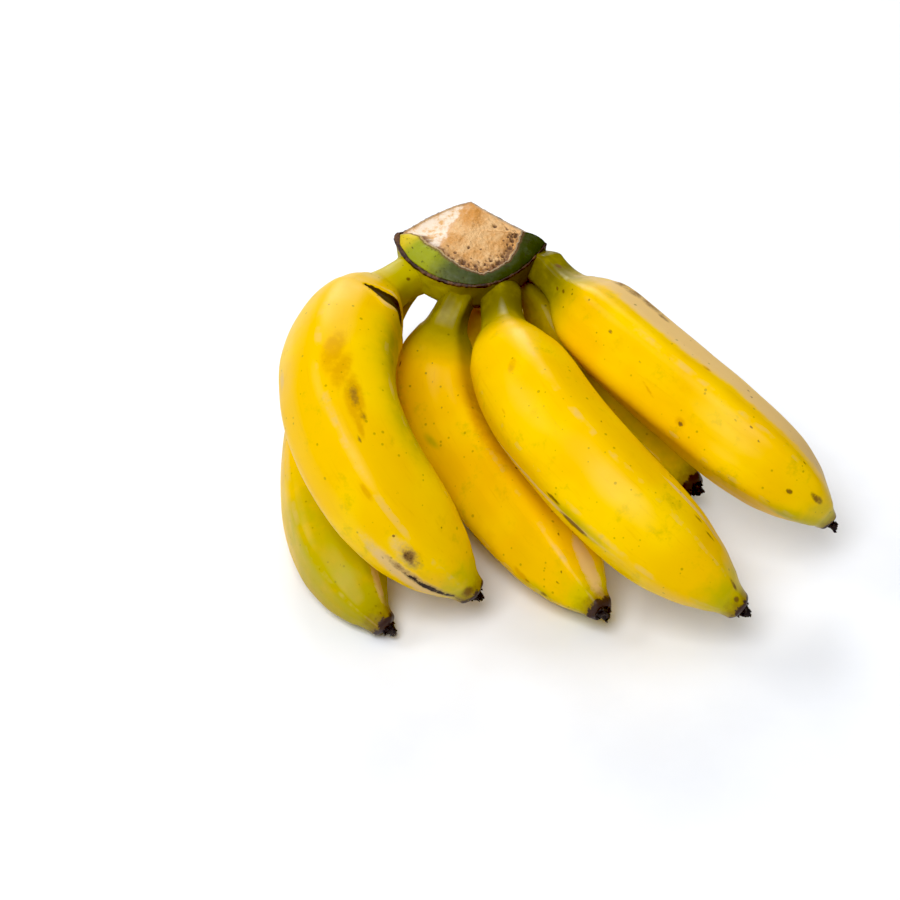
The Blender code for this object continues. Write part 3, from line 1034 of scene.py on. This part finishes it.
def blossom_tree():
    """A crumbly dried stub with a ring of torn bracts round it and shreds at its end."""
    build, given = new_tree("Dried blossom end", BLOSSOM_INPUTS)
    radius, length, seed = given["Radius"], given["Length"], given["Seed"]

    def cone(vertices, sides, fill, foot, top, depth):
        sockets = {
            "Vertices": vertices,
            "Side Segments": sides,
            "Fill Segments": fill,
            "Radius Top": build.times(radius, top),
            "Radius Bottom": build.times(radius, foot),
            "Depth": build.times(length, depth),
        }
        return build.add("GeometryNodeMeshCone", sockets, fill_type="TRIANGLE_FAN").outputs[0]

    def random_vector(limits, draw):
        sockets = {**limits, "Seed": draw}
        return build.add("FunctionNodeRandomValue", sockets, data_type="FLOAT_VECTOR").outputs[0]

    def facing(direction):
        return build.add("FunctionNodeAlignRotationToVector", {"Vector": direction}, axis="Z").outputs[0]

    def moved(geometry, offset):
        return build.add("GeometryNodeSetPosition", {"Geometry": geometry, "Offset": offset}).outputs[0]

    parts = [cone(40, 16, 6, 1.0, CORE_TOP, CORE_LENGTH)]
    shred = cone(8, 5, 1, SHRED_FOOT, SHRED_TOP, SHRED_LENGTH)
    spot = build.add("GeometryNodeInputPosition").outputs[0]
    for ring, (spread, start, lean, count_share) in enumerate(BRACT_RINGS):
        circle = build.add(
            "GeometryNodeMeshCircle",
            {"Vertices": build.times(given["Bracts"], count_share), "Radius": build.times(radius, spread)},
        ).outputs[0]
        draw = build.plus(seed, RING_SEEDS * ring)
        turn = random_vector(BRACT_TURNS, draw)
        size = random_vector(BRACT_SIZES, build.plus(draw, 1.0))
        leaning = facing(build.vector("ADD", build.scaled(spot, lean), build.combined(0.0, 0.0, radius)))
        tumble = build.add("FunctionNodeEulerToRotation", {0: turn}).outputs[0]
        both = {0: leaning, 1: tumble}
        posed = build.add("FunctionNodeRotateRotation", both, rotation_space="LOCAL").outputs[0]
        raised = moved(circle, build.combined(0.0, 0.0, build.times(length, start)))
        bracts = {"Points": raised, "Instance": shred, "Rotation": posed, "Scale": size}
        parts.append(build.add("GeometryNodeInstanceOnPoints", bracts).outputs[0])
    joined = build.add("GeometryNodeJoinGeometry")
    for part in parts:
        build.feed(joined.inputs[0], part)
    real = build.add("GeometryNodeRealizeInstances", {"Geometry": joined.outputs[0]}).outputs[0]
    own_place = build.vector("ADD", spot, build.combined(build.times(seed, CRUMB_SHIFT), 0.0, 0.0))
    rough = build.add("ShaderNodeTexNoise", {"Vector": own_place, **CRUMBS}).outputs["Color"]
    crumble = build.scaled(build.vector("SUBTRACT", rough, (0.5, 0.5, 0.5)), CRUMB_HEIGHT)
    placed = build.add(
        "GeometryNodeTransform",
        {
            "Geometry": moved(real, crumble),
            "Translation": given["End"],
            "Rotation": facing(given["Direction"]),
        },
    ).outputs[0]
    return close_tree(build, placed, given["Dried"])


def dried_material(blossom):
    """Crumbly black plant matter with dusty brown edges."""
    material, build, shader = new_material("dried_blossom")
    place = build.add("ShaderNodeTexCoord").outputs["Object"]
    coarse = build.noise(place, ALL_ROUND, 4.0, 0.7)
    fine = build.noise(place, 3200.0, 3.0, 0.7)
    colour = build.blend(build.ranged(coarse, 0.50, 0.72), blossom.dried, blossom.dusty)
    build.feed(shader.inputs["Base Color"], colour)
    build.feed(shader.inputs["Roughness"], build.ranged(fine, 0.3, 0.7, 0.62, 0.95))
    height = build.plus(coarse, build.times(fine, 0.5))
    build.feed(shader.inputs["Normal"], build.bump(0.8, 0.0004, height))
    return material


class BANANA_OT_blossom_ends(bpy.types.Operator):
    """Make the dried blossom end on the tip of each finger"""

    bl_idname = "banana.make_blossom_ends"
    bl_label = "Make Blossom Ends"

    def execute(self, context):
        blossom = context.scene.banana_blossoms
        material = dried_material(blossom)
        tree = blossom_tree()
        buried = (STUB_INSIDE_MM - STUB_LENGTH_MM * STUB_BASE_SHARE) * MM
        for order, name in enumerate(FINGERS):
            points, _ = finger_points(name)
            lean, longer = LEANING_STUBS.get(name, STRAIGHT_STUB)
            direction = ((points[3] - points[2]).normalized() + Vector(lean)).normalized()
            piece = mesh_from_tree(
                "blossom_" + name,
                tree,
                {
                    "End": points[3] - direction * buried,
                    "Direction": direction,
                    "Radius": STUB_RADIUS_MM * MM,
                    "Length": STUB_LENGTH_MM * longer * MM,
                    "Bracts": blossom.shards,
                    "Seed": blossom.seed + order,
                    "Dried": material,
                },
            )
            places = vertex_places(piece.data)
            places[:, 2] = np.maximum(places[:, 2], 0.0)
            piece.data.vertices.foreach_set("co", places.ravel())
            finish_mesh(piece)
            dress(piece, "blossom_end_" + name)
        return {"FINISHED"}


def round_crown(degrees, table, soft=4):
    """Values of a table of (degrees from the right, value), softened, at angles round the crown."""
    angles, values = zip(*table)
    turns = [(degrees + soft * step + 180) % 360 - 180 for step in (-2, -1, 0, 1, 2)]
    return sum(np.interp(turn, angles, values) for turn in turns) / len(turns)


def crown_outline(angles, fullness):
    """Plan of the crown from its middle, in millimetres; the fullness rounds the edges behind."""
    across = CROWN_HALF_WIDTH_MM * np.cos(angles)
    point = np.where(np.cos(angles) < 0, LEFT_POINT, RIGHT_POINT)
    front = -CROWN_FRONT_MM * np.abs(np.sin(angles)) ** point
    sided = fullness * np.where(np.cos(angles) < 0, LEFT_FULLNESS, RIGHT_FULLNESS)
    back = CROWN_PEAK_MM * (1 - np.abs(np.cos(angles)) ** sided)
    return across, np.where(np.sin(angles) < 0, front, back)


def scar_height(angles):
    """Height of the scar line in millimetres: lowest in front, highest at the peak."""
    front = SCAR_DIP_MM * np.sin(angles)
    back = SCAR_PEAK_MM * (1 - np.abs(np.cos(angles)))
    return SCAR_HEIGHT_MM - np.cos(angles) + np.where(np.sin(angles) < 0, front, back)


def facet_reach(x, y):
    """Distance beyond the crease on the cut, in millimetres; negative on the main facet."""
    return (x - CREASE_START_MM[0]) * CREASE_WAY[1] - (y - CREASE_START_MM[1]) * CREASE_WAY[0]


def ragged(x, y, pitch):
    """Uneven values round zero for places in the plan, the same at every run."""
    return np.array([noise.noise(Vector((a * pitch, b * pitch, 3.7))) for a, b in zip(x, y)])


CROWN_KINDS = ("scar", "under", "dark", "lime", "slate", "dry", "line", "rim", "cut", "share")


def crown_rows(lip_mm):
    """Rings of the crown from the pole below to the pole above, each with its kinds of surface."""
    angles = np.linspace(-math.pi, math.pi, CROWN_SIDES, endpoint=False)
    degrees = np.degrees(angles)
    z_scar = scar_height(angles)
    rows = []

    def add(x, y, z, **kinds):
        marks = [np.broadcast_to(kinds.get(kind, 0.0), CROWN_SIDES) for kind in CROWN_KINDS]
        rows.append((np.stack([x, y, z], axis=1), marks))

    # Underside below the scar line, with its share of painted light
    lit = round_crown(degrees, UNDER_LIT)
    for i in range(UNDERSIDE_ROWS):
        t = (i / (UNDERSIDE_ROWS - 1)) * (len(CROWN_UNDERSIDE) - 1)
        k = min(int(t), len(CROWN_UNDERSIDE) - 2)
        pairs = zip(CROWN_UNDERSIDE[k], CROWN_UNDERSIDE[k + 1])
        share, fall, full = (a + (b - a) * (t - k) for a, b in pairs)
        x, y = crown_outline(angles, full)
        add(x * share, y * share, z_scar + (CROWN_BOTTOM_MM - z_scar) * fall, under=1.0, share=lit)

    x, y = crown_outline(angles, EDGE_FULLNESS)
    reach = np.hypot(x, y)
    out_x, out_y = x / reach, y / reach
    lip = lip_mm * round_crown(degrees, SCAR_THICKNESS)
    for i in range(SCAR_ROWS + 1):
        turn = math.radians(SCAR_ARC[0] + (SCAR_ARC[1] - SCAR_ARC[0]) * i / SCAR_ROWS)
        out = lip * (0.5 * math.cos(turn) - SCAR_INSET)
        up = lip * 0.5 * (math.sin(turn) + SCAR_LIFT)
        add(x + out_x * out, y + out_y * out, z_scar + up, scar=1.0)

    band = round_crown(degrees, CROWN_BAND_MM, 1)
    coarse, fine = (ragged(x, y, pitch) for pitch in RIM_PITCHES)
    band = band + RIM_RAGGED_MM * (coarse + 0.5 * fine)
    tables = {"dark": BAND_DARK, "lime": BAND_LIME, "slate": BAND_SLATE, "dry": BAND_DRY}
    green = {kind: round_crown(degrees, table) for kind, table in tables.items()}
    edge = {kind: green[kind] for kind in ("dark", "dry")}
    rim_x, rim_y = x - out_x * band, y - out_y * band
    rim_z = z_scar + RIM_RISE_MM + band * BAND_SLOPE
    start_x, start_y = x - out_x * lip * 0.25, y - out_y * lip * 0.25
    start_z = z_scar + lip * 0.5
    for i in range(1, BAND_ROWS + 1):
        t = i / BAND_ROWS
        bulge = BAND_BULGE * band * math.sin(math.pi * t)
        add(
            start_x + (rim_x - start_x) * t + out_x * bulge * 0.5,
            start_y + (rim_y - start_y) * t + out_y * bulge * 0.5,
            start_z + (rim_z - start_z) * t + bulge,
            line=smooth_step(np.full(CROWN_SIDES, t), 0.86, 1.0),
            **green,
        )
    for part, up in RIM_PROFILE:
        inward = RIM_WIDTH_MM * part
        kinds = {"line": 1.0 - part, "rim": 1.0 - part * 0.5, "cut": part, **edge}
        add(rim_x - out_x * inward, rim_y - out_y * inward, rim_z + up, **kinds)
    for i in range(1, CUT_ROWS + 1):
        share = 1 - i / CUT_ROWS
        cut_x = (rim_x - out_x * RIM_WIDTH_MM) * share
        cut_y = (rim_y - out_y * RIM_WIDTH_MM) * share
        fall = FACET_SLOPE * np.maximum(facet_reach(cut_x, cut_y), 0.0) * (1 - share ** 3)
        middle = CUT_HEIGHT_MM + CUT_BULGE_MM * (1 - share) ** 0.7 - CUT_EDGE_FALL_MM * share
        add(cut_x, cut_y, middle + (rim_z - CUT_HEIGHT_MM) * share - fall, cut=1.0, share=share, **edge)
    return rows


def pit_depths(places, on_cut):
    """Depth of the pits from 0 to 1 at places in the plan, on the cut alone."""
    dice = random.Random(PIT_SEED)
    pits = list(PITS_MM)
    for _ in range(SMALL_PITS):
        angle = dice.gauss(*PIT_BEARING)
        turned = np.radians(np.array([angle]))
        x, y = crown_outline(turned, EDGE_FULLNESS)
        band = round_crown(np.array([angle]), CROWN_BAND_MM) + RIM_WIDTH_MM
        inside = float(1 - band[0] / np.hypot(x, y)[0]) - abs(dice.gauss(0.0, PIT_SPREAD)) - PIT_INSET
        pits.append((float(x[0]) * inside, float(y[0]) * inside, dice.uniform(*PIT_RADIUS_MM)))
    depth = np.zeros(len(places))
    for x, y, size in pits:
        away = np.hypot(places[:, 0] - x, places[:, 1] - y) / size
        depth = np.maximum(depth, 1 - smooth_step(away, *PIT_FADE))
    return depth * on_cut


def crown_mesh(crown):
    """The crown's surface with its grain, facets and pits."""
    noise.seed_set(NOISE_SEED)
    rows = crown_rows(crown.lip / MM)
    places = np.concatenate([ring for ring, _ in rows])
    kinds = {kind: np.concatenate([marks[k] for _, marks in rows]) for k, kind in enumerate(CROWN_KINDS)}
    on_cut = kinds["cut"] > 0.95
    kinds["pit"] = pit_depths(places, on_cut)
    plan = places[:, 0], places[:, 1]
    wander = sum(size * ragged(*plan, pitch) for size, pitch in zip(FACET_WANDER_MM, FACET_PITCHES))
    kinds["facet"] = smooth_step(facet_reach(*plan) + wander, *FACET_EDGE_MM) * on_cut
    kinds["apex"] = 1 - smooth_step(np.hypot(plan[0] - APEX_MM[0], plan[1] - APEX_MM[1]), *APEX_REACH_MM)
    for i, place in enumerate(places):
        point = Vector(place)
        if on_cut[i]:
            coarse = noise.fractal(point * CUT_PITCHES[0], 1.0, 2.0, 3)
            fine = noise.noise(point * CUT_PITCHES[1]) * 0.5
            place[2] += (coarse + fine) * crown.grain / MM * (1 - 0.6 * kinds["facet"][i])
            place[2] -= kinds["pit"][i] * crown.pit_depth / MM
            continue
        kind = SCAR_NOISE if kinds["scar"][i] > 0.9 else RIM_NOISE if kinds["rim"][i] > 0.1 else SKIN_NOISE
        place += noise.noise_vector(point * kind[0]) * kind[1]
    world = (places + (*CROWN_MIDDLE_MM, 0) - (*FOOTPRINT_MIDDLE_MM, REST_HEIGHT_MM)) * MM
    for first in (0, (len(rows) - 1) * CROWN_SIDES):
        world[first:first + CROWN_SIDES] = world[first:first + CROWN_SIDES].mean(axis=0)
    faces = []
    for r in range(len(rows) - 1):
        for k in range(CROWN_SIDES):
            a = r * CROWN_SIDES + k
            b = r * CROWN_SIDES + (k + 1) % CROWN_SIDES
            faces.append((a, b, b + CROWN_SIDES, a + CROWN_SIDES))
    mesh = bpy.data.meshes.new("crown")
    mesh.from_pydata(world.tolist(), [], faces)
    for kind, values in kinds.items():
        set_channel(mesh, kind, values)
    return mesh


# Patterns of the crown, in features a metre
CROWN_PATTERNS = {"coarse": 160.0, "mottle": 420.0, "fine": 900.0}


def crown_material(crown):
    """Green skin with a dark scar line below, a dry pale rim and a corky cut above."""
    material, build, shader = new_material("crown_skin")
    place = build.add("ShaderNodeTexCoord").outputs["Object"]
    coarse = build.noise(place, CROWN_PATTERNS["coarse"], 3.0, 0.6)
    mottle = build.noise(place, CROWN_PATTERNS["mottle"], 4.0, 0.7)
    fine = build.noise(place, CROWN_PATTERNS["fine"], 4.0, 0.65)
    kinds = {kind: build.attribute(kind) for kind in (*CROWN_KINDS, "pit", "facet", "apex")}
    uneven = build.times(build.centred(coarse), 0.5)
    dark = build.ranged(build.plus(kinds["dark"], uneven), 0.1, 0.9)
    dry = build.ranged(build.plus(kinds["dry"], uneven), 0.3, 0.8)
    fresh = build.rest(dry)
    main_facet = build.rest(kinds["facet"])

    # Band, and the underside in painted light and shade
    lime = build.plus(kinds["lime"], build.times(uneven, 1.6))
    skin = build.blend(build.ranged(lime, 0.2, 0.9), crown.band_light, crown.band_lime)
    deep = build.blend(build.ranged(mottle, 0.45, 0.75, 0.0, 0.6), crown.band_dark, crown.band_slate)
    deep = build.blend(kinds["slate"], deep, crown.band_slate)
    skin = build.blend(dark, skin, deep)
    dried = build.blend(build.ranged(mottle, 0.40, 0.62), crown.dry, crown.stain)
    skin = build.blend(dry, skin, dried)
    skin = build.blend(build.ranged(fine, 0.60, 0.68, 0.0, 0.75), skin, crown.scar)
    skin = build.blend(build.times(kinds["line"], 0.8), skin, crown.stain)
    # Painted light and shade below the scar line: the lit copy on the left and behind, the shaded copy in
    # front
    below = build.blend(kinds["share"], crown.under, crown.under_lit)
    skin = build.blend(kinds["under"], skin, below)

    # Cut: warm at the peak, pale on the second facet, stained along its lower rims and in its pits
    cut = build.blend(build.ranged(coarse, 0.36, 0.64), crown.cut, crown.cut_light)
    warm = build.times(kinds["apex"], build.ranged(mottle, 0.3, 0.6, 0.35, 0.9))
    cut = build.blend(warm, cut, crown.cut_warm)
    pale = build.blend(build.ranged(mottle, 0.42, 0.66), crown.cut_pale, crown.cut_light)
    cut = build.blend(build.times(kinds["facet"], 0.92), cut, pale)
    crease = build.ranged(build.times(kinds["facet"], main_facet), 0.05, 0.25, 0.0, 0.5)
    cut = build.blend(crease, cut, crown.cut_warm)
    cut = build.blend(build.ranged(mottle, 0.52, 0.70, 0.0, 0.5), cut, crown.cut_warm)
    left_rim = build.times(build.ranged(kinds["share"], 0.80, 0.97), build.rest(dark))
    left_rim = build.times(build.times(left_rim, fresh), build.ranged(mottle, 0.36, 0.56, 0.3, 0.9))
    cut = build.blend(left_rim, cut, crown.stain)
    low_rim = build.ranged(build.times(kinds["share"], main_facet), 0.66, 0.98)
    low_rim = build.times(low_rim, build.times(dark, fresh))
    low_rim = build.times(low_rim, build.ranged(mottle, 0.40, 0.56, 0.0, 0.9))
    cut = build.blend(low_rim, cut, crown.stain)
    cut = build.blend(build.ranged(kinds["pit"], 0.05, 0.6, 0.0, 0.75), cut, crown.stain)
    cut = build.blend(build.ranged(kinds["pit"], 0.5, 0.95, 0.0, 0.6), cut, crown.scar)
    cut = build.blend(build.ranged(kinds["rim"], 0.45, 0.8, 0.0, 0.8), cut, crown.dry)

    # Rim and scar line over both
    colour = build.blend(kinds["cut"], skin, cut)
    colour = build.blend(build.ranged(kinds["rim"], 0.75, 0.95, 0.0, 0.8), colour, crown.dry)
    scar = build.blend(build.ranged(mottle, 0.45, 0.7), crown.scar, crown.stain)
    colour = build.blend(kinds["scar"], colour, scar)
    build.feed(shader.inputs["Base Color"], colour)
    build.feed(shader.inputs["Roughness"], build.ranged(fine, 0.3, 0.7, 0.45, 0.75))
    height = build.plus(coarse, build.times(fine, 0.6))
    build.feed(shader.inputs["Normal"], build.bump(0.5, 0.0003, height))
    shader.inputs["Specular IOR Level"].default_value = 0.3
    return material


class BANANA_OT_crown(bpy.types.Operator):
    """Make the cut crown that holds the fingers"""

    bl_idname = "banana.make_crown"
    bl_label = "Make Crown"

    def execute(self, context):
        crown = context.scene.banana_crown
        mesh = crown_mesh(crown)
        mesh.materials.append(crown_material(crown))
        piece = bpy.data.objects.new("banana_crown", mesh)
        context.scene.collection.objects.link(piece)
        finish_mesh(piece)
        dress(piece, "crown")
        return {"FINISHED"}


# Lights: name, its setting, size in metres, and the direction that it shines from
LIGHTS = (
    ("main_light", "main", 0.9, (-0.22, -0.52, 0.83)),
    ("rear_light", "rear", 0.8, (-0.08, 0.88, 0.47)),
    ("left_light", "left", 0.6, (-0.75, 0.15, 0.65)),
    ("right_light", "side", 0.8, (0.53, 0.0, 0.85)),
    ("top_light", "side", 0.8, (0.0, 0.05, 1.0)),
)
LIGHT_DISTANCE = 1.6
TABLE_WHITES = ((0.875, 0.90, 0.95), (0.89, 0.915, 0.965))
# Levels of the picture that come out black and white
BLACK_LEVEL = 0.02
WHITE_LEVEL = 0.97


def floor_material():
    """Matt white table top with a trace of unevenness."""
    material, build, shader = new_material("white_table")
    place = build.add("ShaderNodeTexCoord").outputs["Object"]
    grain = build.noise(place, 60.0, 3.0)
    colour = build.blend(build.ranged(grain, 0.3, 0.7), *TABLE_WHITES)
    build.feed(shader.inputs["Base Color"], colour)
    build.feed(shader.inputs["Roughness"], build.ranged(grain, 0.3, 0.7, 0.80, 0.90))
    shader.inputs["Specular IOR Level"].default_value = 0.2
    return material


def add_light(name, power, size, towards):
    """A square soft light that shines on the hand from a direction."""
    light = bpy.data.lights.new(name, "AREA")
    light.energy = power
    light.size = size
    lamp = bpy.data.objects.new(name, light)
    lamp.location = Vector(towards).normalized() * LIGHT_DISTANCE
    lamp.rotation_euler = Vector(towards).to_track_quat("Z", "Y").to_euler()
    bpy.context.scene.collection.objects.link(lamp)


def add_camera():
    """A camera that looks down on the hand as the photograph does."""
    camera = bpy.data.cameras.new("camera")
    camera.lens = VIEW_LENS
    camera.sensor_width = SENSOR_WIDTH
    camera.clip_start = 0.01
    camera.clip_end = 50.0
    holder = bpy.data.objects.new("camera", camera)
    tilt = math.radians(VIEW_ELEVATION)
    back = Vector((0, -math.cos(tilt), math.sin(tilt)))
    holder.location = Vector(VIEW_TARGET_MM) * MM + back * VIEW_DISTANCE
    holder.rotation_euler = (math.pi / 2 - tilt, 0, 0)
    bpy.context.scene.collection.objects.link(holder)
    bpy.context.scene.camera = holder


class BANANA_OT_stage(bpy.types.Operator):
    """Make the table, the lights and the camera"""

    bl_idname = "banana.make_stage"
    bl_label = "Make Stage"

    def execute(self, context):
        stage = context.scene.banana_stage
        half = stage.floor_size / 2
        mesh = bpy.data.meshes.new("table_top")
        corners = [(-half, -half, 0), (half, -half, 0), (half, half, 0), (-half, half, 0)]
        mesh.from_pydata(corners, [], [(0, 1, 2, 3)])
        mesh.materials.append(floor_material())
        floor = bpy.data.objects.new("table_top", mesh)
        context.scene.collection.objects.link(floor)
        for name, setting, size, towards in LIGHTS:
            add_light(name, getattr(stage, setting), size, towards)
        world = bpy.data.worlds.new("white_room")
        world.use_nodes = True
        background = world.node_tree.nodes["Background"]
        background.inputs["Color"].default_value = (1.0, 1.0, 1.0, 1.0)
        background.inputs["Strength"].default_value = stage.room
        context.scene.world = world
        view = context.scene.view_settings
        view.view_transform = "Standard"
        view.use_curve_mapping = True
        view.curve_mapping.black_level = (BLACK_LEVEL,) * 3
        view.curve_mapping.white_level = (WHITE_LEVEL,) * 3
        view.curve_mapping.update()
        add_camera()
        return {"FINISHED"}


class BANANA_PT_panel(bpy.types.Panel):
    """The hand's settings and its operators"""

    bl_idname = "BANANA_PT_panel"
    bl_label = "Hand of Bananas"
    bl_space_type = "VIEW_3D"
    bl_region_type = "UI"
    bl_category = "Bananas"

    def draw(self, context):
        for operator, group in STEPS:
            box = self.layout.box()
            box.operator(operator.bl_idname)
            settings = getattr(context.scene, group)
            for name in settings.bl_rna.properties.keys():
                if name not in ("rna_type", "name"):
                    box.prop(settings, name)


STEPS = (
    (BANANA_OT_fingers, "banana_fingers"),
    (BANANA_OT_crown, "banana_crown"),
    (BANANA_OT_blossom_ends, "banana_blossoms"),
    (BANANA_OT_stage, "banana_stage"),
)
SETTINGS = {
    "banana_fingers": FingerSettings,
    "banana_skin": SkinSettings,
    "banana_crown": CrownSettings,
    "banana_blossoms": BlossomSettings,
    "banana_stage": StageSettings,
}
CLASSES = (*SETTINGS.values(), *(operator for operator, _ in STEPS), BANANA_PT_panel)


def register():
    for cls in CLASSES:
        bpy.utils.register_class(cls)
    for name, group in SETTINGS.items():
        setattr(bpy.types.Scene, name, PointerProperty(type=group))


def unregister():
    for name in SETTINGS:
        delattr(bpy.types.Scene, name)
    for cls in reversed(CLASSES):
        bpy.utils.unregister_class(cls)


def main():
    register()
    bpy.ops.banana.make_fingers()
    bpy.ops.banana.make_crown()
    bpy.ops.banana.make_blossom_ends()
    bpy.ops.banana.make_stage()
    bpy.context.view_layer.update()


if __name__ == "__main__":
    main()
